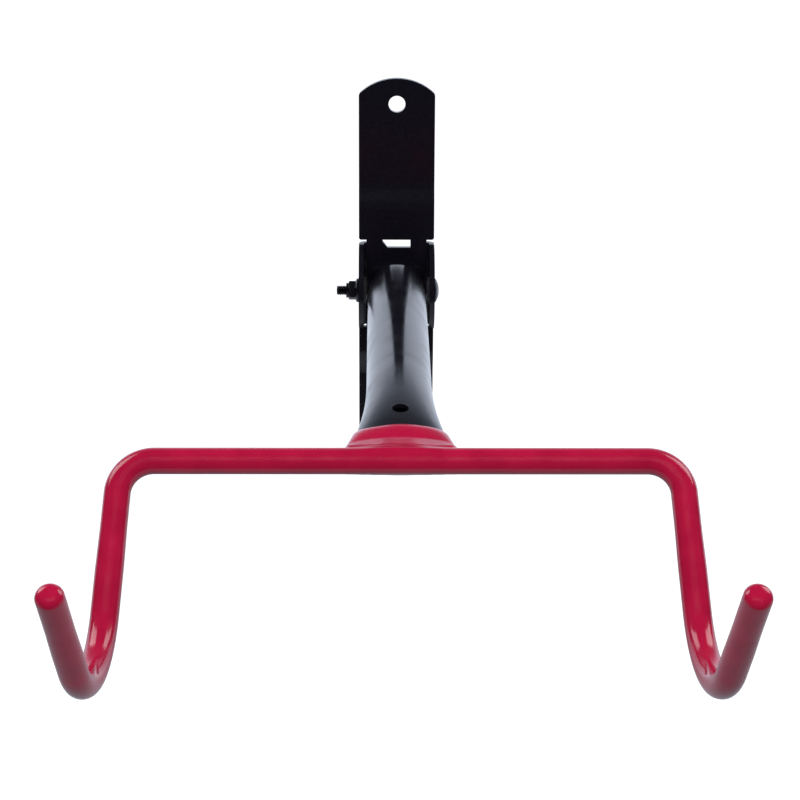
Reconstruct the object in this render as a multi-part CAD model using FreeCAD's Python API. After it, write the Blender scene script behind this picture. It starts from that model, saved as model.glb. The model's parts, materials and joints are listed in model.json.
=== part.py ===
import FreeCAD, Part
import math
import os

# Folding bicycle wall rack: a pressed wall bracket, a round tube arm that folds up on a hinge bolt, and
# one bent bar with two J hooks, welded to the arm's flattened end and dipped in soft vinyl.
#
# Millimetres. The wall is the plane y = 0 and the rack stands out from it along -Y. +X is to the right of
# someone who faces the wall, and +Z is up. The origin lies on the wall, midway between the two wall holes.

Vector = FreeCAD.Vector
X_AXIS = Vector(1, 0, 0)
Y_AXIS = Vector(0, 1, 0)
Z_AXIS = Vector(0, 0, 1)

# Wall bracket, pressed from steel strip
STRIP_LENGTH = 244.5
SHEET = 3.0
END_RADIUS = 32.0
END_CORNER_RADIUS = 3.0
WALL_HOLE_DIAMETER = 10.0
WALL_HOLE_TO_END = 15.25
JOGGLE_DEPTH = 4.0
JOGGLE_INNER = 44.0
JOGGLE_OUTER = 59.5
SLOT_WIDTH = 16.6
SLOT_HEIGHT = 4.8
SLOT_CHAMFER_WIDTH = 3.0
SLOT_CHAMFER_HEIGHT = 3.8

# Ears, folded forward from the strip's sides
EAR_RADIUS = 25.5
EAR_CENTRE_BEHIND_PIVOT = 15.0
EAR_CENTRE_Z = -1.5
EAR_SIDE_GAP = 2.5
BEND_INNER_RADIUS = 1.5
RELIEF_GAP = 1.6
SHOULDER_CORNER_RADIUS = 1.5

# Hinge: bolt, nut, washers and the sleeve in the arm
BOLT_DIAMETER = 6.0
BOLT_END_CHAMFER = 0.8
BOLT_HEAD_OVERHANG = 4.25
BOLT_HEAD_HEIGHT = 2.6
BOLT_HEAD_RIM = 0.5
NECK_STEP = 0.1
NECK_CLEARANCE = 0.1
BOLT_HOLE_CLEARANCE = 0.2
THREAD_PROTRUSION = 5.6
NUT_WALL = 2.0
NUT_FLANGE_OVERHANG = 2.1
NUT_FLANGE_RIM = 1.1
NUT_FLANGE_RISE = 1.3
NUT_HEX_TOP = 6.2
NUT_HEIGHT = 7.4
NUT_EDGE_CHAMFER = 0.7
THREAD_CLEARANCE = 0.03
INSERT_WALL = 0.9
INSERT_HEIGHT = 1.6
INSERT_LIP = 0.3
COLLAR_WALL = 0.5
WASHER_OVERHANG = 2.0
WASHER_THICKNESS = 1.5
WASHER_CLEARANCE = 0.1
THRUST_GAP = 0.2
SLEEVE_WALL = 2.95
SLEEVE_RUNNING_CLEARANCE = 0.05
SLEEVE_WELD_LEG = 1.5

# Arm tube
TUBE_DIAMETER = 34.0
TUBE_WALL = 2.0
STOP_GAP = 0.3
SWING_MARGIN = 2.7
TOP_SETBACK = 24.0
FLARE_LENGTH = 100.0
FLARE_POWER = 2.6
FLARE_SECTIONS = (0.0, 0.2, 0.4, 0.55, 0.7, 0.8, 0.9, 1.0)
FLAT_LENGTH = 16.0
FLAT_HEIGHT = 9.8
VENT_DIAMETER = 8.2
VENT_TO_BAR = 41.0

# Yoke bar with its two hooks
BAR_DIAMETER = 10.0
BAR_REACH = 316.0
CORNER_HALF_SPAN = 133.5
CORNER_RADIUS = 17.0
HOOK_TOE_OUT = 5.0
LEG_FALL = 50.0
LEG_LENGTH = 132.0
HOOK_RADIUS = 44.0
TIP_RISE = 55.0
TIP_LENGTH = 122.0

# Weld beads between the arm's flat end and the bar
BEAD_RADIUS = 2.6
BEAD_SETBACK = 4.2
BEAD_CENTRE_HEIGHT = 2.8
BEAD_END_GAP = 1.75

# Vinyl coat
COAT = 1.4
COAT_TIP = 1.8
COAT_TIP_RADIUS = 4.6
DIP_LINE_TO_BAR = 45.0
DIP_LINE_SLOPE = 0.5

# Tolerances: a length found by halving, two places that are the same, and the cosine of nearly no angle
BISECTION_TOLERANCE = 1e-10
NEAR = 0.01
PARALLEL = 0.99

# Values that follow from the sizes above
WEB_BACK = JOGGLE_DEPTH
WEB_FRONT = WEB_BACK + SHEET
TUBE_RADIUS = TUBE_DIAMETER / 2
SWING_RADIUS = TUBE_RADIUS + SWING_MARGIN
PIVOT_REACH = WEB_FRONT + STOP_GAP + SWING_RADIUS
EAR_INSIDE = TUBE_RADIUS + EAR_SIDE_GAP
HALF_WIDTH = EAR_INSIDE + SHEET
STRIP_WIDTH = 2 * HALF_WIDTH
WALL_HOLE_SPACING = STRIP_LENGTH - 2 * WALL_HOLE_TO_END
BEND_OUTER_RADIUS = BEND_INNER_RADIUS + SHEET
EAR_CENTRE_REACH = PIVOT_REACH - EAR_CENTRE_BEHIND_PIVOT
EAR_TOP = EAR_CENTRE_Z + EAR_RADIUS
EAR_BOTTOM = EAR_CENTRE_Z - EAR_RADIUS
EAR_FRONT = EAR_CENTRE_REACH + EAR_RADIUS
SHOULDER_TOP = EAR_TOP + RELIEF_GAP
SHOULDER_BOTTOM = EAR_BOTTOM - RELIEF_GAP
BOLT_RADIUS = BOLT_DIAMETER / 2
BOLT_LENGTH = STRIP_WIDTH + NUT_HEIGHT + THREAD_PROTRUSION
BOLT_HEAD_RADIUS = BOLT_RADIUS + BOLT_HEAD_OVERHANG
NECK_WIDTH = BOLT_DIAMETER + 2 * NECK_STEP
NUT_ACROSS_FLATS = BOLT_DIAMETER + 2 * NUT_WALL
NUT_FLANGE_RADIUS = NUT_ACROSS_FLATS / 2 + NUT_FLANGE_OVERHANG
INSERT_RADIUS = BOLT_RADIUS + INSERT_WALL
COLLAR_RADIUS = INSERT_RADIUS + COLLAR_WALL
WASHER_INSIDE = EAR_INSIDE - WASHER_THICKNESS
SLEEVE_END = WASHER_INSIDE - THRUST_GAP
SLEEVE_BORE_RADIUS = BOLT_RADIUS + SLEEVE_RUNNING_CLEARANCE
SLEEVE_RADIUS = SLEEVE_BORE_RADIUS + SLEEVE_WALL
WASHER_RADIUS = SLEEVE_RADIUS + WASHER_OVERHANG
BAR_RADIUS = BAR_DIAMETER / 2
FLARE_END = BAR_REACH - FLAT_LENGTH
FLARE_START = FLARE_END - FLARE_LENGTH
COAT_RADIUS = BAR_RADIUS + COAT
PIVOT = Vector(0, -PIVOT_REACH, 0)
BAR_CENTRE = Vector(0, -BAR_REACH, 0)


def cylinder(radius, length, start, direction):
    return Part.makeCylinder(radius, length, start, direction)


def box_between(low, high):
    size = high - low
    return Part.makeBox(size.x, size.y, size.z, low)


def largest_solid(shape):
    return max(shape.Solids, key=lambda solid: solid.Volume)


def face_of_edges(edges):
    return Part.Face(Part.Wire(Part.__sortEdges__(edges)))


def closed_polygon(points):
    return Part.Face(Part.makePolygon(points + [points[0]]))


# Wall bracket

def joggle_edges(side, depth):
    """The two arcs of one joggle on the sheet's surface that lies `depth` in front of its back face."""
    offset = depth - SHEET / 2
    pad_y = -SHEET / 2
    web_y = -WEB_BACK - SHEET / 2
    turn = 2 * math.atan2(JOGGLE_DEPTH, JOGGLE_OUTER - JOGGLE_INNER)
    radius = (JOGGLE_OUTER - JOGGLE_INNER) / (2 * math.sin(turn))

    def on_pad_arc(angle):
        reach = radius - offset
        y = pad_y - radius + reach * math.cos(angle)
        z = JOGGLE_OUTER - reach * math.sin(angle)
        return Vector(0, y, side * z)

    def on_web_arc(angle):
        reach = radius + offset
        y = web_y + radius - reach * math.cos(angle)
        z = JOGGLE_INNER + reach * math.sin(angle)
        return Vector(0, y, side * z)

    pad_arc = Part.Arc(on_pad_arc(0), on_pad_arc(turn / 2), on_pad_arc(turn))
    web_arc = Part.Arc(on_web_arc(turn), on_web_arc(turn / 2), on_web_arc(0))
    return [pad_arc.toShape(), web_arc.toShape()]


def surface_edges(depth):
    """One surface of the strip in side view, from its bottom end to its top end."""
    web_y = -WEB_BACK - depth
    edges = [Part.makeLine(Vector(0, web_y, -JOGGLE_INNER), Vector(0, web_y, JOGGLE_INNER))]
    for side in (-1, 1):
        pad_start = Vector(0, -depth, side * JOGGLE_OUTER)
        pad_end = Vector(0, -depth, side * STRIP_LENGTH / 2)
        edges += joggle_edges(side, depth)
        edges.append(Part.makeLine(pad_start, pad_end))
    return edges


def strip_blank():
    """The joggled strip with square ends."""
    edges = surface_edges(0) + surface_edges(SHEET)
    for side in (-1, 1):
        z = side * STRIP_LENGTH / 2
        edges.append(Part.makeLine(Vector(0, 0, z), Vector(0, -SHEET, z)))
    blank = face_of_edges(edges).extrude(X_AXIS * STRIP_WIDTH)
    blank.translate(Vector(-HALF_WIDTH, 0, 0))
    return blank


def strip_outline():
    """A prism with the strip's front-view outline: straight sides and shallow-arc ends."""
    corner_z = STRIP_LENGTH / 2 - END_RADIUS + math.sqrt(END_RADIUS ** 2 - HALF_WIDTH ** 2)
    front = -WEB_FRONT - SHEET
    edges = []
    for side in (-1, 1):
        left = Vector(-HALF_WIDTH, front, side * corner_z)
        right = Vector(HALF_WIDTH, front, side * corner_z)
        crown = Vector(0, front, side * STRIP_LENGTH / 2)
        side_start = Vector(side * HALF_WIDTH, front, -corner_z)
        side_end = Vector(side * HALF_WIDTH, front, corner_z)
        edges.append(Part.Arc(left, crown, right).toShape())
        edges.append(Part.makeLine(side_start, side_end))
    prism = face_of_edges(edges).extrude(Y_AXIS * (-front + SHEET))
    corners = [edge for edge in prism.Edges
               if edge.Length > SHEET and abs(edge.tangentAt(edge.FirstParameter).y) > PARALLEL]
    return prism.makeFillet(END_CORNER_RADIUS, corners)


def ear_channel():
    """Web and ears as one folded channel, cut to the ears' D-shaped side view."""
    front = EAR_FRONT + SHEET
    outside = box_between(Vector(-HALF_WIDTH, -front, EAR_BOTTOM),
                          Vector(HALF_WIDTH, -WEB_BACK, EAR_TOP))
    inside = box_between(Vector(-EAR_INSIDE, -front, EAR_BOTTOM),
                         Vector(EAR_INSIDE, -WEB_FRONT, EAR_TOP))

    def round_back(block, radius):
        back = block.BoundBox.YMax
        upright = [edge for edge in block.Edges if abs(edge.tangentAt(edge.FirstParameter).z) > PARALLEL]
        corners = [edge for edge in upright if abs(edge.CenterOfMass.y - back) < NEAR]
        return block.makeFillet(radius, corners)

    channel = round_back(outside, BEND_OUTER_RADIUS).cut(round_back(inside, BEND_INNER_RADIUS))
    disc_start = Vector(-HALF_WIDTH, -EAR_CENTRE_REACH, EAR_CENTRE_Z)
    side_view = cylinder(EAR_RADIUS, STRIP_WIDTH, disc_start, X_AXIS)
    root = box_between(Vector(-HALF_WIDTH, -EAR_CENTRE_REACH, EAR_BOTTOM), Vector(HALF_WIDTH, 0, EAR_TOP))
    return channel.common(side_view.fuse(root))


def slot_cutter():
    """The slot through the web, under the shoulder line, with one slanted lower corner."""
    top = SHOULDER_TOP
    bottom = top - SLOT_HEIGHT
    half = SLOT_WIDTH / 2
    outline = [
        Vector(-half, 0, top),
        Vector(half, 0, top),
        Vector(half, 0, bottom),
        Vector(-half + SLOT_CHAMFER_WIDTH, 0, bottom),
        Vector(-half, 0, bottom + SLOT_CHAMFER_HEIGHT),
    ]
    return closed_polygon(outline).extrude(Y_AXIS * -(WEB_FRONT + SHEET))


def wall_bracket():
    strip = strip_blank().common(strip_outline())
    bend_start = HALF_WIDTH - BEND_OUTER_RADIUS
    for side in (-1, 1):
        centre_x = side * (bend_start + HALF_WIDTH)
        low = Vector(centre_x - HALF_WIDTH, -WEB_FRONT - SHEET, SHOULDER_BOTTOM)
        high = Vector(centre_x + HALF_WIDTH, SHEET, SHOULDER_TOP)
        strip = strip.cut(box_between(low, high))

    def is_shoulder_corner(edge):
        place = edge.CenterOfMass
        off_shoulder = min(abs(place.z - SHOULDER_TOP), abs(place.z - SHOULDER_BOTTOM))
        return abs(abs(place.x) - HALF_WIDTH) < NEAR and off_shoulder < NEAR

    shoulders = [edge for edge in strip.Edges if is_shoulder_corner(edge)]
    strip = strip.makeFillet(SHOULDER_CORNER_RADIUS, shoulders)
    bracket = strip.fuse(ear_channel()).removeSplitter()
    for side in (-1, 1):
        start = Vector(0, SHEET, side * WALL_HOLE_SPACING / 2)
        bracket = bracket.cut(cylinder(WALL_HOLE_DIAMETER / 2, 3 * SHEET, start, -Y_AXIS))
    bracket = bracket.cut(slot_cutter())
    bolt_hole_radius = BOLT_RADIUS + BOLT_HOLE_CLEARANCE
    bracket = bracket.cut(cylinder(bolt_hole_radius, HALF_WIDTH + SHEET, PIVOT, -X_AXIS))
    return largest_solid(bracket.cut(square_bar(NECK_WIDTH + 2 * NECK_CLEARANCE, HALF_WIDTH + SHEET)))


# Hinge

def square_bar(width, length):
    """A square bar on the hinge axis, from the middle towards +X."""
    low = PIVOT + Vector(0, -width / 2, -width / 2)
    return Part.makeBox(length, width, width, low)


def hinge_bolt():
    """Domed head outside the right ear, square neck in that ear, plain shank and thread out to the left."""
    under_head = PIVOT + Vector(HALF_WIDTH, 0, 0)
    shank = cylinder(BOLT_RADIUS, BOLT_LENGTH, under_head, -X_AXIS)
    thread_end = HALF_WIDTH - BOLT_LENGTH
    end_edge = [edge for edge in shank.Edges if edge.BoundBox.XMax < thread_end + BOLT_END_CHAMFER]
    shank = shank.makeChamfer(BOLT_END_CHAMFER, end_edge)
    neck = square_bar(NECK_WIDTH, HALF_WIDTH).cut(square_bar(NECK_WIDTH, EAR_INSIDE))
    dome_height = BOLT_HEAD_HEIGHT - BOLT_HEAD_RIM
    dome_radius = (BOLT_HEAD_RADIUS ** 2 + dome_height ** 2) / (2 * dome_height)
    head = cylinder(BOLT_HEAD_RADIUS, BOLT_HEAD_HEIGHT, under_head, X_AXIS)
    head = head.common(Part.makeSphere(dome_radius, under_head + X_AXIS * (BOLT_HEAD_HEIGHT - dome_radius)))
    return largest_solid(shank.fuse([neck, head]).removeSplitter())


def hexagon_prism(across_flats, height, start, direction):
    """A hexagonal bar along X with two of its corners up and down."""
    corner_radius = across_flats / math.sqrt(3)
    corners = []
    for index in range(6):
        angle = math.radians(60 * index)
        corners.append(start + Vector(0, corner_radius * math.sin(angle), corner_radius * math.cos(angle)))
    return closed_polygon(corners).extrude(direction * height)


def lock_nut():
    """Flange lock nut, seated on the left ear, with a collar that holds the nylon ring."""
    seat = PIVOT - Vector(HALF_WIDTH, 0, 0)
    corner_radius = NUT_ACROSS_FLATS / math.sqrt(3)
    rim = cylinder(NUT_FLANGE_RADIUS, NUT_FLANGE_RIM, seat, -X_AXIS)
    skirt = Part.makeCone(NUT_FLANGE_RADIUS, NUT_ACROSS_FLATS / 2, NUT_FLANGE_RISE,
                          seat - X_AXIS * NUT_FLANGE_RIM, -X_AXIS)
    hexagon = hexagon_prism(NUT_ACROSS_FLATS, NUT_HEX_TOP, seat, -X_AXIS)
    crown_start = seat - X_AXIS * (NUT_HEX_TOP - NUT_EDGE_CHAMFER)
    body_limit = cylinder(corner_radius, NUT_HEX_TOP - NUT_EDGE_CHAMFER, seat, -X_AXIS)
    crown_top_radius = corner_radius - 2 * NUT_EDGE_CHAMFER
    crown = Part.makeCone(corner_radius, crown_top_radius, NUT_EDGE_CHAMFER, crown_start, -X_AXIS)
    hexagon = hexagon.common(body_limit.fuse(crown))
    collar = cylinder(COLLAR_RADIUS, NUT_HEIGHT, seat, -X_AXIS)
    nut = rim.fuse([skirt, hexagon, collar]).removeSplitter()
    nut = nut.cut(cylinder(BOLT_RADIUS + THREAD_CLEARANCE, NUT_HEIGHT, seat, -X_AXIS))
    recess_start = seat - X_AXIS * (NUT_HEIGHT - INSERT_LIP - INSERT_HEIGHT)
    return largest_solid(nut.cut(cylinder(INSERT_RADIUS, INSERT_HEIGHT, recess_start, -X_AXIS)))


def nut_insert():
    """Nylon ring, held in the nut's collar, which grips the thread."""
    start = PIVOT - X_AXIS * (HALF_WIDTH + NUT_HEIGHT - INSERT_LIP - INSERT_HEIGHT)
    ring = cylinder(INSERT_RADIUS, INSERT_HEIGHT, start, -X_AXIS)
    return ring.cut(cylinder(BOLT_RADIUS, INSERT_HEIGHT, start, -X_AXIS))


def spacer_washer(side):
    """Washer between one ear and the sleeve's end."""
    start = PIVOT + X_AXIS * side * WASHER_INSIDE
    outer = cylinder(WASHER_RADIUS, WASHER_THICKNESS, start, X_AXIS * side)
    return outer.cut(cylinder(BOLT_RADIUS + WASHER_CLEARANCE, WASHER_THICKNESS, start, X_AXIS * side))


def pivot_sleeve():
    """Steel sleeve across the arm that turns on the bolt and takes its clamp load."""
    start = PIVOT - X_AXIS * SLEEVE_END
    outer = cylinder(SLEEVE_RADIUS, 2 * SLEEVE_END, start, X_AXIS)
    return outer.cut(cylinder(SLEEVE_BORE_RADIUS, 2 * SLEEVE_END, start, X_AXIS))


def sleeve_weld(side):
    """Fillet weld that fills the corner between the sleeve and the outside of the tube."""
    weld_radius = SLEEVE_RADIUS + SLEEVE_WELD_LEG
    start = PIVOT + X_AXIS * side * (SLEEVE_END - THRUST_GAP)
    length = SLEEVE_END - THRUST_GAP - math.sqrt(TUBE_RADIUS ** 2 - weld_radius ** 2) + SLEEVE_WELD_LEG
    ring = Part.makeCone(SLEEVE_RADIUS, weld_radius + SLEEVE_WELD_LEG, length, start, X_AXIS * -side)
    ring = ring.cut(cylinder(SLEEVE_RADIUS, length, start, X_AXIS * -side))
    return largest_solid(ring.cut(arm_form(0)))


# Arm tube

def ellipse_perimeter(half_width, half_height):
    """Ramanujan's formula."""
    ratio = ((half_width - half_height) / (half_width + half_height)) ** 2
    return math.pi * (half_width + half_height) * (1 + 3 * ratio / (10 + math.sqrt(4 - 3 * ratio)))


def pressed_partner(half_axis):
    """The oval's other half axis, when the round tube is pressed until one is this long."""
    wall_middle = TUBE_WALL / 2
    perimeter = 2 * math.pi * (TUBE_RADIUS - wall_middle)
    low = 0.0
    high = TUBE_DIAMETER
    while high - low > BISECTION_TOLERANCE:
        middle = (low + high) / 2
        if ellipse_perimeter(half_axis - wall_middle, middle) > perimeter:
            high = middle
        else:
            low = middle
    return low + wall_middle


def arm_section(share, offset):
    """The arm's oval outline at this share of the flare, grown by the offset."""
    widening = pressed_partner(FLAT_HEIGHT / 2) - TUBE_RADIUS
    half_width = TUBE_RADIUS + widening * share ** FLARE_POWER
    half_height = min(pressed_partner(half_width), half_width)
    oval = Part.Ellipse(Vector(0, 0, 0), half_width + offset, half_height + offset).toShape()
    oval.rotate(Vector(0, 0, 0), X_AXIS, 90)
    oval.translate(Vector(0, -FLARE_START - FLARE_LENGTH * share, 0))
    return Part.Wire([oval])


def arm_form(offset, overrun=0):
    """The arm's solid form, round to the flare and oval beyond it, grown by the offset."""
    back = -WEB_FRONT - STOP_GAP + overrun
    straight = cylinder(TUBE_RADIUS + offset, FLARE_START + back, Y_AXIS * back, -Y_AXIS)
    flare = Part.makeLoft([arm_section(share, offset) for share in FLARE_SECTIONS], True)
    inner_height = FLAT_HEIGHT / 2 - TUBE_WALL
    mouth_to_bar = math.sqrt(max(BAR_RADIUS ** 2 - inner_height ** 2, 0))
    flat_length = FLAT_LENGTH - mouth_to_bar + overrun
    flat = Part.Face(arm_section(1.0, offset)).extrude(-Y_AXIS * flat_length)
    return straight.fuse([flare, flat])


def arm_tube():
    """Round tube, coped to the bar in front and cut on a slant above the hinge axis behind."""
    across = 2 * CORNER_HALF_SPAN
    tube = arm_form(0).cut(cylinder(BAR_RADIUS, across, BAR_CENTRE - X_AXIS * across / 2, X_AXIS))
    tube = tube.cut(cylinder(SLEEVE_RADIUS, TUBE_DIAMETER, PIVOT - X_AXIS * TUBE_RADIUS, X_AXIS))
    back = -WEB_FRONT - STOP_GAP
    slant_outline = [
        Vector(-TUBE_RADIUS, back, 0),
        Vector(-TUBE_RADIUS, back, TUBE_RADIUS),
        Vector(-TUBE_RADIUS, back - TOP_SETBACK, TUBE_RADIUS),
    ]
    tube = tube.cut(closed_polygon(slant_outline).extrude(X_AXIS * TUBE_DIAMETER))
    vent = cylinder(VENT_DIAMETER / 2, TUBE_RADIUS, Vector(0, -BAR_REACH + VENT_TO_BAR, 0), Z_AXIS)
    return largest_solid(tube.cut(vent).cut(arm_form(-TUBE_WALL, TUBE_WALL)))


# Yoke

def rounded_path(points, radii):
    """A wire through the points, with an arc of the given radius at each inner point."""
    edges = []
    last = points[0]
    for before, corner, after, radius in zip(points, points[1:], points[2:], radii):
        arm_in = (before - corner).normalize()
        arm_out = (after - corner).normalize()
        half_angle = arm_in.getAngle(arm_out) / 2
        run = radius / math.tan(half_angle)
        start = corner + arm_in * run
        end = corner + arm_out * run
        inward = (arm_in + arm_out).normalize()
        middle = corner + inward * (radius / math.sin(half_angle) - radius)
        edges.append(Part.makeLine(last, start))
        edges.append(Part.Arc(start, middle, end).toShape())
        last = end
    edges.append(Part.makeLine(last, points[-1]))
    return Part.Wire(edges)


def tip_direction(side):
    toe = math.radians(HOOK_TOE_OUT)
    rise = math.radians(TIP_RISE)
    return Vector(side * math.sin(toe) * math.cos(rise), -math.cos(toe) * math.cos(rise), math.sin(rise))


def hook_points(side):
    """Crossbar corner, hook bottom corner and bar end of one hook."""
    toe = math.radians(HOOK_TOE_OUT)
    fall = math.radians(LEG_FALL)
    corner = BAR_CENTRE + Vector(side * CORNER_HALF_SPAN, 0, 0)
    leg = Vector(side * math.sin(toe) * math.cos(fall), -math.cos(toe) * math.cos(fall), -math.sin(fall))
    bottom = corner + leg * LEG_LENGTH
    return [corner, bottom, bottom + tip_direction(side) * TIP_LENGTH]


def yoke_sweep(radius):
    """The bent bar's form with this radius."""
    points = hook_points(-1)[::-1] + hook_points(1)
    radii = [HOOK_RADIUS, CORNER_RADIUS, CORNER_RADIUS, HOOK_RADIUS]
    path = rounded_path(points, radii)
    section = Part.Wire([Part.makeCircle(radius, points[0], points[1] - points[0])])
    return path.makePipeShell([section], True, False)


def yoke_bar():
    return yoke_sweep(BAR_RADIUS)


def bead_form(side, offset):
    """A round-ended bead along the top (1) or underside (-1) of the joint, grown by the offset."""
    radius = BEAD_RADIUS + offset
    half = pressed_partner(FLAT_HEIGHT / 2) - BEAD_END_GAP
    middle = BAR_CENTRE + Vector(0, BEAD_SETBACK, side * BEAD_CENTRE_HEIGHT)
    bead = cylinder(radius, 2 * half, middle - X_AXIS * half, X_AXIS)
    ends = [Part.makeSphere(radius, middle + X_AXIS * end * half) for end in (-1, 1)]
    return bead.fuse(ends)


def arm_weld(side):
    """Weld bead between the arm's flat end and the bar."""
    return largest_solid(bead_form(side, 0).cut(arm_form(0)).cut(yoke_bar()))


def coat_tip(side):
    """The coat's rounded cap beyond the bar's end."""
    direction = tip_direction(side)
    start = hook_points(side)[-1] - direction * COAT_RADIUS
    cap = cylinder(COAT_RADIUS, COAT_RADIUS + COAT_TIP, start, direction)
    end = start + direction * (COAT_RADIUS + COAT_TIP)
    rim = [edge for edge in cap.Edges if edge.CenterOfMass.sub(end).Length < NEAR]
    return cap.makeFillet(COAT_TIP_RADIUS, rim)


def dipped_space():
    """Everything in front of and below the plane that the vinyl came up to on the arm."""
    slope = math.degrees(math.atan(DIP_LINE_SLOPE))
    size = 2 * BAR_REACH
    space = box_between(Vector(-size, -2 * size, -size), Vector(size, size, 0))
    space.rotate(Vector(0, 0, 0), X_AXIS, -slope)
    space.translate(Vector(0, DIP_LINE_TO_BAR - BAR_REACH, 0))
    return space


def yoke_coat():
    """Dipped vinyl skin over the bar, the welds and the arm's flat end."""
    arm_cover = arm_form(COAT).common(dipped_space())
    covers = [arm_cover] + [coat_tip(side) for side in (-1, 1)] + [bead_form(side, COAT) for side in (-1, 1)]
    outside = yoke_sweep(COAT_RADIUS).fuse(covers)
    coat = outside.cut(arm_form(0)).cut(yoke_bar())
    for side in (-1, 1):
        coat = coat.cut(arm_weld(side))
    return largest_solid(coat)


def build():
    pieces = {
        "wall_bracket": wall_bracket(),
        "hinge_bolt": hinge_bolt(),
        "lock_nut": lock_nut(),
        "nut_insert": nut_insert(),
        "spacer_washer_left": spacer_washer(-1),
        "spacer_washer_right": spacer_washer(1),
        "pivot_sleeve": pivot_sleeve(),
        "sleeve_weld_left": sleeve_weld(-1),
        "sleeve_weld_right": sleeve_weld(1),
        "arm_tube": arm_tube(),
        "yoke_bar": yoke_bar(),
        "arm_weld_top": arm_weld(1),
        "arm_weld_bottom": arm_weld(-1),
        "yoke_coat": yoke_coat(),
    }
    os.makedirs("parts", exist_ok=True)
    for name, shape in pieces.items():
        shape.exportStep(f"parts/{name}.step")
        print(f"{name}: {len(shape.Solids)} solid, {shape.Volume:.1f} mm3, valid {shape.isValid()}")


build()
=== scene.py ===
import json
import math

import bmesh
import bpy
import numpy as np
from mathutils import Matrix, Vector


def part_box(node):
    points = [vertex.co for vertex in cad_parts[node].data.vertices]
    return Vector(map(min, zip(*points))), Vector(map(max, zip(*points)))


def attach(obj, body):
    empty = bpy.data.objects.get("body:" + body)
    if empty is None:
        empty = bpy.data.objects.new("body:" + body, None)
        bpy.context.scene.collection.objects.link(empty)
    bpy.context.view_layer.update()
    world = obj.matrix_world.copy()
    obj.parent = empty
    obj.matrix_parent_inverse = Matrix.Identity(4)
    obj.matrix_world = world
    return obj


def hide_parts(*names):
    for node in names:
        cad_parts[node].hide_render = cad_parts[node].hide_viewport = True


# Folding bicycle wall rack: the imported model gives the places, and this script adds the looks. Metres.

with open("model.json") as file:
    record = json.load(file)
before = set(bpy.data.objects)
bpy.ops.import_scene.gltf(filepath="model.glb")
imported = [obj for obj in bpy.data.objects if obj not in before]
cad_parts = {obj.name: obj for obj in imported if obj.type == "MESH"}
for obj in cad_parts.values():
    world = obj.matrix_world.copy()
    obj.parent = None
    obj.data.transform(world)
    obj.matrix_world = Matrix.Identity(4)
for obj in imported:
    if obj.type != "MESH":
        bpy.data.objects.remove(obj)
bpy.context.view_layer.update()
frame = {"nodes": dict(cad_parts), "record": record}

# Camera, by its place and its turns in degrees
CAMERA_PLACE = Vector((-0.0111, -1.3508, 0.3877))
CAMERA_YAW = 0.58
CAMERA_PITCH = 19.03
CAMERA_ROLL = -0.25
CAMERA_LENS = 104.37

# The bent bar's path
BAR_RADIUS = 0.005
CORNER_HALF_SPAN = 0.1335
CORNER_RADIUS = 0.017
HOOK_TOE_OUT = math.radians(5)
LEG_FALL = math.radians(50)
LEG_LENGTH = 0.132
HOOK_RADIUS = 0.044
TIP_RISE = math.radians(55)
TIP_LENGTH = 0.122
BAR_REACH = BAR_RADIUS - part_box("yoke_bar")[1].y

# The arm: a round tube pressed to an oval in front
TUBE_RADIUS = 0.017
TUBE_WALL = 0.002
FLARE_LENGTH = 0.100
FLARE_POWER = 2.6
FLAT_LENGTH = 0.016
FLAT_HEIGHT = 0.0098
FLARE_END = BAR_REACH - FLAT_LENGTH
FLARE_START = FLARE_END - FLARE_LENGTH

# The vinyl coat: its thickness, its end caps, and the slanted line that it came up to on the arm
COAT = 0.0014
COAT_TIP = 0.0018
COAT_TIP_RADIUS = 0.0046
DIP_LINE_TO_BAR = 0.045
DIP_LINE_SLOPE = 0.5
DIP_LIP = 0.0008
DIP_WAVER = 0.00015
DIP_BOW_PER_METRE = 12.5
FILLET = 0.003
BEAD_FILLET = FILLET / 4
BEAD_RADIUS = 0.0026
BEAD_SETBACK = 0.0042
BEAD_HEIGHT = 0.0028
BEAD_END_GAP = 0.00175
TIP_REACH = 0.03

# How the coat's mesh is made
COAT_VOXEL = 0.0009
BAR_SPACING = 0.002
BAR_SIDES = 32
SLEEVE_SPACING = 0.004
SLEEVE_SIDES = 64
INSIDE_START = 0.15
INSIDE_END_GAP = 0.002
INSIDE_GAP = 0.0001
INSIDE_SPACING = 0.002
INSIDE_SIDES = 128
EVENING_ROUNDS = 3

# The vinyl ran down before it set, so it is thicker low on the hooks
RUN_THICKNESS = 0.0003
RUN_START = 0.0255
RUN_LENGTH = 0.015

# The hinge bolt
BOLT_RADIUS = 0.003
BOLT_END_CHAMFER = 0.0008
BOLT_HEAD_RADIUS = 0.00725
BOLT_HEAD_HEIGHT = 0.0026
BOLT_HEAD_RIM = 0.0005
THREAD_PITCH = 0.001
THREAD_DEPTH = 0.0006
THREAD_LENGTH = 0.018
THREAD_STEPS_PER_TURN = 16
THREAD_RUNOUT = 0.0003
BOLT_SIDES = 64
DOME_RINGS = 14
DOME_TOP_RADIUS = 0.0002
PIVOT_REACH = 0.027

# Broken edges on the pressed and turned steel
BROKEN_EDGE = 0.0003

X_AXIS = np.array([1.0, 0.0, 0.0])


# Distance fields: each function takes an (n, 3) array of points and gives n distances

def unit(vector):
    return vector / np.linalg.norm(vector)


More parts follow.
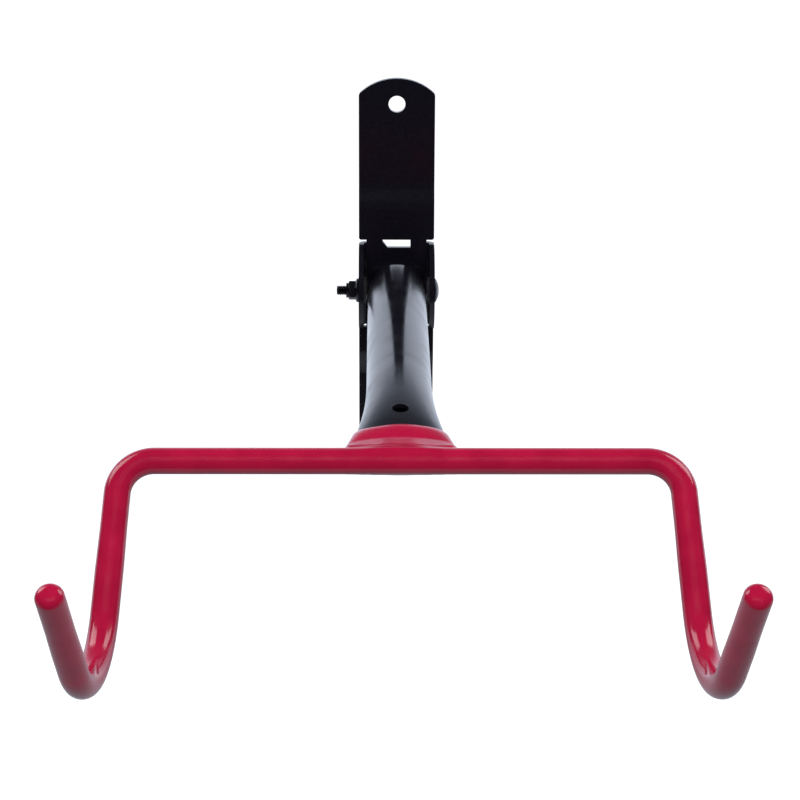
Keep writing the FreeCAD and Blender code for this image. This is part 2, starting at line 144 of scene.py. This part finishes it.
def hook_points(side):
    """Crossbar corner, hook bottom corner and bar end of one hook."""
    corner = np.array([side * CORNER_HALF_SPAN, -BAR_REACH, 0.0])
    across = side * math.sin(HOOK_TOE_OUT)
    along = -math.cos(HOOK_TOE_OUT)
    leg = np.array([across * math.cos(LEG_FALL), along * math.cos(LEG_FALL), -math.sin(LEG_FALL)])
    tip = np.array([across * math.cos(TIP_RISE), along * math.cos(TIP_RISE), math.sin(TIP_RISE)])
    bottom = corner + leg * LEG_LENGTH
    return [corner, bottom, bottom + tip * TIP_LENGTH]


def bar_path():
    """The bar's middle line as straight runs and tangent arcs."""
    points = hook_points(-1)[::-1] + hook_points(1)
    radii = [HOOK_RADIUS, CORNER_RADIUS, CORNER_RADIUS, HOOK_RADIUS]
    pieces = []
    last = points[0]
    for before, corner, after, radius in zip(points, points[1:], points[2:], radii):
        back = unit(before - corner)
        ahead = unit(after - corner)
        half_angle = math.acos(np.dot(back, ahead)) / 2
        run = radius / math.tan(half_angle)
        start = corner + back * run
        centre = corner + unit(back + ahead) * radius / math.sin(half_angle)
        pieces.append(("run", last, start))
        pieces.append(("arc", centre, unit(start - centre), -back, radius, math.pi - 2 * half_angle))
        last = corner + ahead * run
    pieces.append(("run", last, points[-1]))
    return pieces


def distance_to_run(points, start, end):
    along = end - start
    share = np.clip((points - start) @ along / np.dot(along, along), 0, 1)
    return np.linalg.norm(points - start - share[:, None] * along, axis=1)


def distance_to_arc(points, centre, first, second, radius, turn):
    offset = points - centre
    angle = np.arctan2(offset @ second, offset @ first)
    angle = np.where(angle < -math.pi / 2, angle + 2 * math.pi, angle)
    angle = np.clip(angle, 0, turn)
    nearest = radius * (np.cos(angle)[:, None] * first + np.sin(angle)[:, None] * second)
    return np.linalg.norm(offset - nearest, axis=1)


PATH = bar_path()


def distance_to_path(points):
    found = np.full(len(points), np.inf)
    for kind, *values in PATH:
        measure = distance_to_run if kind == "run" else distance_to_arc
        found = np.minimum(found, measure(points, *values))
    return found


def tip_field(points, side):
    """The coat round one bar end as a cylinder with a rounded rim, and how far each point is along it."""
    _, bottom, end = hook_points(side)
    direction = unit(end - bottom)
    offset = points - end
    along = offset @ direction
    across = np.linalg.norm(offset - along[:, None] * direction, axis=1)
    rim_across = across - (BAR_RADIUS + COAT - COAT_TIP_RADIUS)
    rim_along = along - (COAT_TIP - COAT_TIP_RADIUS)
    outside = np.hypot(np.maximum(rim_across, 0), np.maximum(rim_along, 0))
    inside = np.minimum(np.maximum(rim_across, rim_along), 0)
    return outside + inside - COAT_TIP_RADIUS, along, across


def ellipse_perimeter(first, second):
    ratio = ((first - second) / (first + second)) ** 2
    return math.pi * (first + second) * (1 + 3 * ratio / (10 + np.sqrt(4 - 3 * ratio)))


def pressed_partner(half_axis):
    """The oval's other half axis, when the round tube is pressed until one is this long."""
    middle_line = np.asarray(half_axis) - TUBE_WALL / 2
    perimeter = 2 * math.pi * (TUBE_RADIUS - TUBE_WALL / 2)
    low = np.zeros_like(middle_line)
    high = np.full_like(middle_line, 2 * TUBE_RADIUS)
    for _ in range(40):
        middle = (low + high) / 2
        too_long = ellipse_perimeter(middle_line, middle) > perimeter
        high = np.where(too_long, middle, high)
        low = np.where(too_long, low, middle)
    return low + TUBE_WALL / 2


FLAT_HALF_WIDTH = float(pressed_partner(FLAT_HEIGHT / 2))
OVAL_REACHES = np.linspace(0, BAR_REACH, 400)
OVAL_SHARES = np.clip((OVAL_REACHES - FLARE_START) / FLARE_LENGTH, 0, 1)
OVAL_WIDTHS = TUBE_RADIUS + (FLAT_HALF_WIDTH - TUBE_RADIUS) * OVAL_SHARES ** FLARE_POWER
OVAL_HEIGHTS = np.minimum(pressed_partner(OVAL_WIDTHS), OVAL_WIDTHS)


def arm_distance(points):
    """Distance from the arm's outer surface, without its ends."""
    half_width = np.interp(-points[:, 1], OVAL_REACHES, OVAL_WIDTHS)
    half_height = np.interp(-points[:, 1], OVAL_REACHES, OVAL_HEIGHTS)
    ratio = np.hypot(points[:, 0] / half_width, points[:, 2] / half_height)
    slope = np.hypot(points[:, 0] / half_width ** 2, points[:, 2] / half_height ** 2)
    return ratio * (ratio - 1) / np.maximum(slope, 1e-6)


def smooth_union(first, second, blend):
    share = np.clip(0.5 + 0.5 * (second - first) / blend, 0, 1)
    return second * (1 - share) + first * share - blend * share * (1 - share)


def past_dip_line(points):
    """How far a point lies in front of the slanted, bowed line that the vinyl came up to."""
    steep = math.hypot(1, DIP_LINE_SLOPE)
    plane = -points[:, 1] - (BAR_REACH - DIP_LINE_TO_BAR) - points[:, 2] / DIP_LINE_SLOPE
    plane = plane - DIP_BOW_PER_METRE * points[:, 0] ** 2
    waver = np.sin(points[:, 0] / 0.0063 + 0.6) + 0.6 * np.sin(points[:, 0] / 0.0029 + 2.0)
    return plane * DIP_LINE_SLOPE / steep + DIP_WAVER * waver


def coat_distance(points):
    """The coat's outer surface, with soft fillets where it runs from the arm to the crossbar."""
    run = RUN_THICKNESS * np.clip((-points[:, 2] - RUN_START) / RUN_LENGTH, 0, 1)
    bar = distance_to_path(points) - BAR_RADIUS - COAT - run
    past = past_dip_line(points)
    thickness = COAT * (1 - np.exp(-np.clip(past, -2 * DIP_LIP, None) / DIP_LIP))
    cover = arm_distance(points) - thickness
    cover = np.maximum(cover, -past - 1.5 * DIP_LIP)
    cover = np.maximum(cover, -points[:, 1] - BAR_REACH)
    joint = smooth_union(bar, cover, FILLET)
    for side in (-1, 1):
        half = FLAT_HALF_WIDTH - BEAD_END_GAP
        middle = np.array([0, BEAD_SETBACK - BAR_REACH, side * BEAD_HEIGHT])
        bead = distance_to_run(points, middle - X_AXIS * half, middle + X_AXIS * half)
        joint = smooth_union(joint, bead - BEAD_RADIUS - COAT, BEAD_FILLET)
    for side in (-1, 1):
        tip, along, across = tip_field(points, side)
        joint = np.where((along > -TIP_REACH) & (across < TIP_REACH), tip, joint)
    return joint


def slope_of(field, points, step=2e-5):
    """The field's direction of growth at each point, by small steps each way."""
    slopes = np.empty_like(points)
    for axis in range(3):
        shift = np.zeros(3)
        shift[axis] = step
        slopes[:, axis] = (field(points + shift) - field(points - shift)) / (2 * step)
    return slopes


def settle(field, points, rounds=4):
    """Points moved onto the surface where the field is zero."""
    for _ in range(rounds):
        slopes = slope_of(field, points)
        strength = np.maximum((slopes ** 2).sum(axis=1), 0.25)
        move = (field(points) / strength)[:, None] * slopes
        points = points - np.clip(move, -0.001, 0.001)
    return points


# Mesh helpers

def new_object(name, vertices, faces):
    mesh = bpy.data.meshes.new(name)
    mesh.from_pydata([tuple(v) for v in vertices], [], [tuple(f) for f in faces])
    mesh.update()
    made = bpy.data.objects.new(name, mesh)
    bpy.context.scene.collection.objects.link(made)
    return made


def ring_mesh(rings):
    """Vertices and faces of a closed form through rings of points, with a fan at each end."""
    count = len(rings[0])
    vertices = [point for ring in rings for point in ring]
    faces = []
    for index in range(len(rings) - 1):
        for step in range(count):
            following = (step + 1) % count
            low = index * count
            faces.append((low + step, low + following, low + count + following, low + count + step))
    for ring_index, flip in ((0, True), (len(rings) - 1, False)):
        centre = len(vertices)
        vertices.append(np.mean(rings[ring_index], axis=0))
        for step in range(count):
            pair = [ring_index * count + step, ring_index * count + (step + 1) % count]
            faces.append((*(pair[::-1] if flip else pair), centre))
    return vertices, faces


def path_stations(spacing):
    """Points and directions along the bar's path, about this far apart on bends."""
    stations = []
    for kind, *values in PATH:
        if kind == "run":
            start, end = values
            count = max(2, int(np.linalg.norm(end - start) / (4 * spacing)))
            for share in np.linspace(0, 1, count, endpoint=False):
                stations.append((start + (end - start) * share, unit(end - start)))
        else:
            centre, first, second, radius, turn = values
            count = max(4, int(radius * turn / spacing))
            for angle in np.linspace(0, turn, count, endpoint=False):
                place = centre + radius * (math.cos(angle) * first + math.sin(angle) * second)
                stations.append((place, math.cos(angle) * second - math.sin(angle) * first))
    stations.append((PATH[-1][2], unit(PATH[-1][2] - PATH[-1][1])))
    return stations


def bar_form(radius, spacing, sides, overrun):
    """Rings of a round bar along the path, whose ends run on by the overrun."""
    stations = path_stations(spacing)
    first_place, first_direction = stations[0]
    last_place, last_direction = stations[-1]
    stations[0] = (first_place - first_direction * overrun, first_direction)
    stations[-1] = (last_place + last_direction * overrun, last_direction)
    rings = []
    normal = np.cross(first_direction, X_AXIS)
    for place, direction in stations:
        normal = unit(normal - direction * np.dot(normal, direction))
        across = np.cross(direction, normal)
        angles = np.linspace(0, 2 * math.pi, sides, endpoint=False)
        rings.append([place + radius * (math.cos(a) * normal + math.sin(a) * across) for a in angles])
    return ring_mesh(rings)


def oval_form(start, end, offset, spacing, sides):
    """Rings of the arm's outer form between two distances from the wall, grown by the offset."""
    rings = []
    for reach in np.linspace(start, end, int((end - start) / spacing) + 2):
        half_width = np.interp(reach, OVAL_REACHES, OVAL_WIDTHS) + offset
        half_height = np.interp(reach, OVAL_REACHES, OVAL_HEIGHTS) + offset
        ring = []
        for angle in np.linspace(0, 2 * math.pi, sides, endpoint=False):
            ring.append(np.array([half_width * math.cos(angle), -reach, half_height * math.sin(angle)]))
        rings.append(ring)
    return ring_mesh(rings)


def points_of(mesh):
    values = np.empty(len(mesh.vertices) * 3)
    mesh.vertices.foreach_get("co", values)
    return values.reshape(-1, 3)


def set_points(mesh, points):
    mesh.vertices.foreach_set("co", points.ravel())
    mesh.update()


def evened(mesh, points):
    """Each point moved halfway to the middle of its neighbours."""
    edges = np.empty(len(mesh.edges) * 2, dtype=np.int64)
    mesh.edges.foreach_get("vertices", edges)
    edges = edges.reshape(-1, 2)
    total = np.zeros_like(points)
    count = np.zeros(len(points))
    for here, there in ((0, 1), (1, 0)):
        np.add.at(total, edges[:, here], points[edges[:, there]])
        np.add.at(count, edges[:, here], 1)
    return (points + total / np.maximum(count, 1)[:, None]) / 2


def shade_smooth(made):
    made.data.polygons.foreach_set("use_smooth", [True] * len(made.data.polygons))
    made.data.update()


def applied(made):
    """The object with its modifiers made into its mesh."""
    graph = bpy.context.evaluated_depsgraph_get()
    mesh = bpy.data.meshes.new_from_object(made.evaluated_get(graph))
    made.modifiers.clear()
    made.data = mesh
    return made


def cut_with(made, *cutters):
    for cutter in cutters:
        modifier = made.modifiers.new("cut", "BOOLEAN")
        modifier.operation = "DIFFERENCE"
        modifier.solver = "MANIFOLD"
        modifier.object = cutter
    applied(made)
    for cutter in cutters:
        bpy.data.objects.remove(cutter)


# Materials

def new_material(name, color, roughness):
    material = bpy.data.materials.new(name)
    material.use_nodes = True
    material.diffuse_color = (*color, 1)
    shader = material.node_tree.nodes["Principled BSDF"]
    shader.inputs["Base Color"].default_value = (*color, 1)
    shader.inputs["Roughness"].default_value = roughness
    return material, shader


def noise(material, scale, detail=2.0, stretch=(1, 1, 1)):
    """Noise over the piece's own coordinates, whose features are about 1 / scale metres."""
    nodes = material.node_tree.nodes
    links = material.node_tree.links
    place = nodes.new("ShaderNodeTexCoord")
    mapping = nodes.new("ShaderNodeMapping")
    mapping.inputs["Scale"].default_value = stretch
    texture = nodes.new("ShaderNodeTexNoise")
    texture.inputs["Scale"].default_value = scale
    texture.inputs["Detail"].default_value = detail
    links.new(place.outputs["Object"], mapping.inputs["Vector"])
    links.new(mapping.outputs["Vector"], texture.inputs["Vector"])
    return texture.outputs["Fac"]


def remap(material, value, low, high, start=0.35, end=0.65):
    """The value between start and end, spread over low to high."""
    node = material.node_tree.nodes.new("ShaderNodeMapRange")
    node.inputs["From Min"].default_value = start
    node.inputs["From Max"].default_value = end
    node.inputs["To Min"].default_value = low
    node.inputs["To Max"].default_value = high
    material.node_tree.links.new(value, node.inputs["Value"])
    return node.outputs["Result"]


def color_between(material, value, first, second, start=0.35, end=0.65):
    node = material.node_tree.nodes.new("ShaderNodeValToRGB")
    node.color_ramp.elements[0].position = start
    node.color_ramp.elements[0].color = (*first, 1)
    node.color_ramp.elements[1].position = end
    node.color_ramp.elements[1].color = (*second, 1)
    material.node_tree.links.new(value, node.inputs["Fac"])
    return node.outputs["Color"]


def add_bump(material, shader, heights):
    """A chain of bumps, each given as a height value and its depth in metres."""
    links = material.node_tree.links
    last = None
    for value, depth in heights:
        bump = material.node_tree.nodes.new("ShaderNodeBump")
        bump.inputs["Distance"].default_value = depth
        links.new(value, bump.inputs["Height"])
        if last is not None:
            links.new(last, bump.inputs["Normal"])
        last = bump.outputs["Normal"]
    links.new(last, shader.inputs["Normal"])


def black_enamel():
    """Gloss black paint on steel, with faint orange peel and a little dust."""
    material, shader = new_material("black_enamel", (0.005, 0.0045, 0.008), 0.2)
    links = material.node_tree.links
    dust = noise(material, 900, 6.0)
    tint = color_between(material, dust, (0.004, 0.0036, 0.0066), (0.008, 0.0074, 0.011), 0.4, 0.75)
    links.new(tint, shader.inputs["Base Color"])
    links.new(remap(material, noise(material, 60, 4.0), 0.16, 0.24), shader.inputs["Roughness"])
    add_bump(material, shader, [(noise(material, 450, 2.0), 0.00001), (noise(material, 60, 1.0), 0.00003)])
    return material


def red_vinyl():
    """Dipped soft vinyl: deep glossy red with slow waves and small dimples."""
    material, shader = new_material("red_vinyl", (0.42, 0.006, 0.042), 0.25)
    links = material.node_tree.links
    tint = color_between(material, noise(material, 70, 3.0), (0.39, 0.005, 0.038), (0.45, 0.007, 0.045))
    links.new(tint, shader.inputs["Base Color"])
    links.new(remap(material, noise(material, 140, 4.0), 0.11, 0.19), shader.inputs["Roughness"])
    shader.inputs["Subsurface Weight"].default_value = 0.03
    shader.inputs["Subsurface Radius"].default_value = (0.002, 0.0004, 0.0004)
    shader.inputs["Subsurface Scale"].default_value = 1.0
    add_bump(material, shader, [(noise(material, 600, 3.0), 0.000006), (noise(material, 60, 1.0), 0.00004)])
    return material


def metal(name, color, roughness, grain):
    """Plated or plain steel with a fine grain that varies the shine."""
    material, shader = new_material(name, color, roughness)
    links = material.node_tree.links
    shader.inputs["Metallic"].default_value = 1.0
    lighter = tuple(min(1.0, value * 1.35) for value in color)
    tint = color_between(material, noise(material, grain, 5.0), color, lighter)
    links.new(tint, shader.inputs["Base Color"])
    spread = remap(material, noise(material, grain / 3, 4.0), roughness * 0.75, roughness * 1.3)
    links.new(spread, shader.inputs["Roughness"])
    add_bump(material, shader, [(noise(material, grain * 2, 3.0), 0.00001)])
    return material


def nylon():
    """Matte black plastic with a moulded grain."""
    material, shader = new_material("nylon", (0.02, 0.02, 0.022), 0.45)
    links = material.node_tree.links
    tint = color_between(material, noise(material, 700, 4.0), (0.014, 0.014, 0.016), (0.03, 0.03, 0.032))
    links.new(tint, shader.inputs["Base Color"])
    add_bump(material, shader, [(noise(material, 1500, 3.0), 0.00002)])
    return material


MATERIALS = {
    "black_enamel": black_enamel(),
    "red_vinyl": red_vinyl(),
    "black_zinc": metal("black_zinc", (0.055, 0.055, 0.06), 0.32, 900),
    "bare_steel": metal("bare_steel", (0.42, 0.42, 0.43), 0.35, 700),
    "nylon": nylon(),
}


def paint(made, slot_name):
    made.data.materials.clear()
    made.data.materials.append(MATERIALS[slot_name])


# Pieces

def soften_edges(made, width, segments=3):
    """Broken edges, as punched and tumbled steel has."""
    modifier = made.modifiers.new("broken_edges", "BEVEL")
    modifier.width = width
    modifier.segments = segments
    modifier.limit_method = "ANGLE"
    modifier.angle_limit = math.radians(35)
    modifier.harden_normals = True


def dress_cad_nodes():
    for part in frame["record"]["subparts"]:
        paint(frame["nodes"][part["node"]], part["material_slot"])


def vinyl_coat():
    """The dipped skin over the bar, the welds and the arm's flat end, as one closed piece."""
    outer = BAR_RADIUS + COAT
    bar = new_object("vinyl_coat", *bar_form(outer, BAR_SPACING, BAR_SIDES, COAT_TIP))
    cover_start = BAR_REACH - DIP_LINE_TO_BAR - TUBE_RADIUS / DIP_LINE_SLOPE
    sleeve_rings = oval_form(cover_start, BAR_REACH, COAT, SLEEVE_SPACING, SLEEVE_SIDES)
    sleeve = new_object("sleeve_start", *sleeve_rings)
    merged = bmesh.new()
    merged.from_mesh(bar.data)
    merged.from_mesh(sleeve.data)
    merged.to_mesh(bar.data)
    merged.free()
    bpy.data.objects.remove(sleeve)
    remesh = bar.modifiers.new("skin", "REMESH")
    remesh.mode = "VOXEL"
    remesh.voxel_size = COAT_VOXEL
    applied(bar)
    points = settle(coat_distance, points_of(bar.data), 8)
    for _ in range(EVENING_ROUNDS):
        points = settle(coat_distance, evened(bar.data, points), 2)
    set_points(bar.data, settle(coat_distance, points))
    inside_end = BAR_REACH - INSIDE_END_GAP
    inside_rings = oval_form(INSIDE_START, inside_end, -INSIDE_GAP, INSIDE_SPACING, INSIDE_SIDES)
    cut_with(bar, new_object("arm_inside", *inside_rings))
    shade_smooth(bar)
    paint(bar, "red_vinyl")
    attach(bar, "arm")
    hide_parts("yoke_coat")


def thread_depth(turn):
    """Depth of the thread's groove at this share of a turn: flat crests with slanted flanks."""
    return THREAD_DEPTH * np.clip(1.25 * abs(2 * turn - 1) - 0.1, 0, 1)


def threaded_bolt():
    """The hinge bolt with a domed head, a plain shank and a cut thread at its free end."""
    low, high = (np.array(corner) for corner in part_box("hinge_bolt"))
    origin = np.array([0.0, -PIVOT_REACH, 0.0])
    angles = np.linspace(0, 2 * math.pi, BOLT_SIDES, endpoint=False)

    def ring_at(x, radii):
        return [origin + np.array([x, r * math.cos(a), r * math.sin(a)]) for a, r in zip(angles, radii)]

    rings = []
    steps = int(THREAD_LENGTH / THREAD_PITCH * THREAD_STEPS_PER_TURN)
    for x in np.linspace(low[0], low[0] + THREAD_LENGTH, steps):
        run = x - low[0]
        lead_in = min(BOLT_RADIUS, BOLT_RADIUS - BOLT_END_CHAMFER + run)
        turns = (run / THREAD_PITCH - angles / (2 * math.pi)) % 1
        rings.append(ring_at(x, np.minimum(lead_in, BOLT_RADIUS - thread_depth(turns))))
    under_head = high[0] - BOLT_HEAD_HEIGHT
    profile = [
        (low[0] + THREAD_LENGTH + THREAD_RUNOUT, BOLT_RADIUS),
        (under_head, BOLT_RADIUS),
        (under_head, BOLT_HEAD_RADIUS - 0.0001),
        (under_head + BOLT_HEAD_RIM * 0.6, BOLT_HEAD_RADIUS),
    ]
    rise = BOLT_HEAD_HEIGHT - BOLT_HEAD_RIM
    dome_radius = (BOLT_HEAD_RADIUS ** 2 + rise ** 2) / (2 * rise)
    for radius in np.linspace(BOLT_HEAD_RADIUS, DOME_TOP_RADIUS, DOME_RINGS)[1:]:
        profile.append((high[0] - dome_radius + math.sqrt(dome_radius ** 2 - radius ** 2), radius))
    for x, radius in profile:
        rings.append(ring_at(x, [radius] * BOLT_SIDES))
    bolt = new_object("threaded_bolt", *ring_mesh(rings))
    shade_smooth(bolt)
    bolt.modifiers.new("edges", "EDGE_SPLIT").split_angle = math.radians(40)
    paint(bolt, "black_zinc")
    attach(bolt, "bracket")
    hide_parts("hinge_bolt")


# Stage, lights and camera

# Strength of the paper's own light, and the colour of that light at rising heights on the sweep
STAGE_GLOW = 1.05
SWEEP_FADE = [
    (-0.33, (0.35, 0.38, 0.43)),
    (-0.24, (0.84, 0.94, 1.12)),
    (0.26, (0.84, 0.94, 1.12)),
    (0.40, (0.46, 0.53, 0.68)),
    (0.65, (0.20, 0.24, 0.33)),
    (0.90, (0.08, 0.095, 0.135)),
    (1.30, (0.035, 0.04, 0.05)),
]


def stage_material(name, color):
    """Pale seamless paper with faint mottling and a little light of its own."""
    material, shader = new_material(name, color, 0.9)
    darker = tuple(value * 0.985 for value in color)
    tint = color_between(material, noise(material, 3, 3.0), darker, color)
    material.node_tree.links.new(tint, shader.inputs["Base Color"])
    shader.inputs["Specular IOR Level"].default_value = 0.1
    shader.inputs["Emission Color"].default_value = (1, 1, 1, 1)
    shader.inputs["Emission Strength"].default_value = STAGE_GLOW
    return material, shader


def fade_with_height(material, shader):
    """The paper's own light follows the table of glow against height."""
    nodes = material.node_tree.nodes
    links = material.node_tree.links
    place = nodes.new("ShaderNodeTexCoord")
    axes = nodes.new("ShaderNodeSeparateXYZ")
    ramp = nodes.new("ShaderNodeValToRGB")
    links.new(place.outputs["Object"], axes.inputs["Vector"])
    bottom = SWEEP_FADE[0][0]
    top = SWEEP_FADE[-1][0]
    links.new(remap(material, axes.outputs["Z"], 0, 1, bottom, top), ramp.inputs["Fac"])
    stops = ramp.color_ramp.elements
    while len(stops) < len(SWEEP_FADE):
        stops.new(0.5)
    for stop, (height, glow) in zip(stops, SWEEP_FADE):
        stop.position = (height - bottom) / (top - bottom)
        stop.color = (*glow, 1)
    links.new(ramp.outputs["Color"], shader.inputs["Emission Color"])


def make_stage():
    """A wide pale floor that the camera sees, and a lit sweep behind the rack that only lights it."""
    floor_z = -0.34
    floor_half = 4.0
    front = -0.62
    back = 0.75
    curve = 0.35
    half_width = 1.6
    top = 1.9
    corners = [(x, y, floor_z) for x, y in ((-1, -1), (1, -1), (1, 1), (-1, 1))]
    vertices = [(x * floor_half, y * floor_half, z) for x, y, z in corners]
    floor = new_object("stage_floor", vertices, [(0, 1, 2, 3)])
    floor.data.materials.append(stage_material("pale_floor", (0.25, 0.25, 0.26))[0])
    floor.visible_glossy = False
    floor.visible_diffuse = False
    profile = [(front, floor_z), (back - curve, floor_z)]
    for angle in np.linspace(0, math.pi / 2, 13)[1:]:
        profile.append((back - curve + curve * math.sin(angle), floor_z + curve * (1 - math.cos(angle))))
    profile.append((back, top))
    vertices = [(x, y, z) for y, z in profile for x in (-half_width, half_width)]
    faces = [(2 * i, 2 * i + 1, 2 * i + 3, 2 * i + 2) for i in range(len(profile) - 1)]
    sweep = new_object("stage_sweep", vertices, faces)
    shade_smooth(sweep)
    paper, shader = stage_material("seamless_paper", (0.25, 0.25, 0.26))
    fade_with_height(paper, shader)
    sweep.data.materials.append(paper)
    sweep.visible_camera = False


def softbox(name, place, target, width, height, power):
    data = bpy.data.lights.new(name, "AREA")
    data.shape = "RECTANGLE"
    data.size = width
    data.size_y = height
    data.energy = power
    light = bpy.data.objects.new(name, data)
    bpy.context.scene.collection.objects.link(light)
    light.location = place
    light.rotation_euler = (Vector(target) - Vector(place)).to_track_quat("-Z", "Y").to_euler()
    return light


def make_lights():
    """Two softboxes high at the sides, a fill that leaves no reflections, and a dim room."""
    for side in (-1, 1):
        softbox(f"softbox_{side}", (side * 0.85, 0.05, 0.75), (0, -0.35, -0.05), 0.5, 0.8, 5.0)
    fill = softbox("front_fill", (0, -1.6, 1.1), (0, -0.3, 0), 1.6, 1.0, 30)
    fill.visible_glossy = False
    world = bpy.data.worlds.new("studio")
    world.use_nodes = True
    nodes = world.node_tree.nodes
    links = world.node_tree.links
    room = nodes["Background"]
    room.inputs["Color"].default_value = (0.045, 0.045, 0.06, 1)
    paper = nodes.new("ShaderNodeBackground")
    paper.inputs["Color"].default_value = (1, 1, 1, 1)
    rays = nodes.new("ShaderNodeLightPath")
    mix = nodes.new("ShaderNodeMixShader")
    links.new(rays.outputs["Is Camera Ray"], mix.inputs["Fac"])
    links.new(room.outputs["Background"], mix.inputs[1])
    links.new(paper.outputs["Background"], mix.inputs[2])
    links.new(mix.outputs["Shader"], nodes["World Output"].inputs["Surface"])
    bpy.context.scene.world = world


def make_camera():
    yaw, pitch, roll = (math.radians(angle) for angle in (CAMERA_YAW, CAMERA_PITCH, CAMERA_ROLL))
    forward = Vector((math.sin(yaw) * math.cos(pitch), math.cos(yaw) * math.cos(pitch), -math.sin(pitch)))
    level = Vector((math.cos(yaw), -math.sin(yaw), 0))
    down = forward.cross(level)
    right = level * math.cos(roll) + down * math.sin(roll)
    up = level * math.sin(roll) - down * math.cos(roll)
    data = bpy.data.cameras.new("camera")
    data.lens = CAMERA_LENS
    camera = bpy.data.objects.new("camera", data)
    bpy.context.scene.collection.objects.link(camera)
    turn = Matrix((right, up, -forward)).transposed()
    camera.matrix_world = Matrix.Translation(CAMERA_PLACE) @ turn.to_4x4()
    bpy.context.scene.camera = camera


dress_cad_nodes()
for node in ("wall_bracket", "lock_nut", "spacer_washer_left", "spacer_washer_right", "arm_tube"):
    shade_smooth(frame["nodes"][node])
    soften_edges(frame["nodes"][node], BROKEN_EDGE)
vinyl_coat()
threaded_bolt()
make_stage()
make_lights()
make_camera()
bpy.context.scene.view_settings.view_transform = "Standard"
